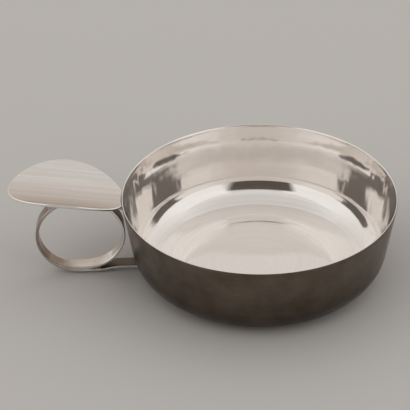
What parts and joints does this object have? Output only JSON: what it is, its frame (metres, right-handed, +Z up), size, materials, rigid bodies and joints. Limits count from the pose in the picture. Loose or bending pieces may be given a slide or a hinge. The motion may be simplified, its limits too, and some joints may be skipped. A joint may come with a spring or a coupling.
{
  "type": "tastevin",
  "caption": "Shallow round silver tasting cup with a straight leaning wall, a strap finger loop at its side and a dished oval thumb plate above the loop.",
  "frame": {"origin": "centre of the flat base, on the bowl's axis, on the plane the cup rests on", "axes": "+Z up along the bowl's axis, -X outwards along the handle, +Y to complete a right-handed frame; the cup is the same on both sides of Y = 0"},
  "size_m": [0.1155, 0.082, 0.0317],
  "materials": {
    "bowl_silver": "silver, mirror polished inside, softly polished outside",
    "handle_silver": "silver, polished strap, thumb plate brushed along its length",
    "solder": "hard silver solder, filed smooth"
  },
  "bodies": {
    "root": {"bowl": "bowl_silver", "strap": "handle_silver", "thumb_plate": "handle_silver", "rim_solder": "solder", "seat_solder_outer": "solder", "seat_solder_inner": "solder", "lap_solder": "solder", "tail_solder": "solder"}
  },
  "joints": []
}
